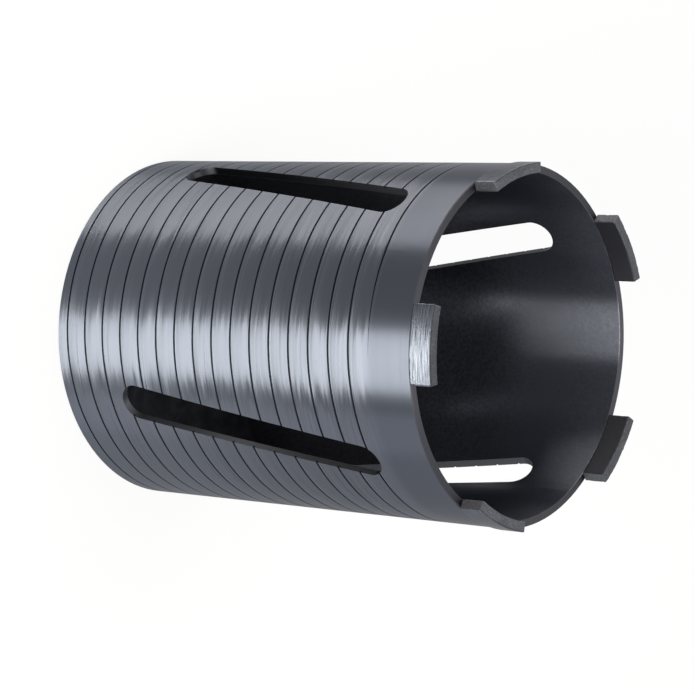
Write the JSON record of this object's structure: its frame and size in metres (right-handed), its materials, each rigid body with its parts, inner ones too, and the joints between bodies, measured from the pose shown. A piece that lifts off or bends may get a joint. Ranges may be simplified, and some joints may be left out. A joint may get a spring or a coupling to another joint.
{
  "type": "diamond core bit",
  "caption": "Dry diamond core bit: slotted steel barrel with a helical dust groove, welded back with a threaded hub, and diamond segments on the rim.",
  "frame": {"origin": "centre of the back face, on the barrel axis", "axes": "+Z along the barrel axis, from the back face to the cutting end; +X through the middle of a slot"},
  "size_m": [0.1164, 0.1165, 0.1582],
  "materials": {
    "barrel_steel": "dark turned gunmetal, semi-gloss",
    "plate_steel": "dark plain steel",
    "hub_steel": "turned steel, tapped bore",
    "diamond_segment": "sintered metal, ground on the outside"
  },
  "bodies": {
    "root": {"barrel": "barrel_steel", "back_plate": "plate_steel", "threaded_hub": "hub_steel", "segment_1": "diamond_segment", "segment_2": "diamond_segment", "segment_3": "diamond_segment", "segment_4": "diamond_segment", "segment_5": "diamond_segment"}
  },
  "joints": []
}
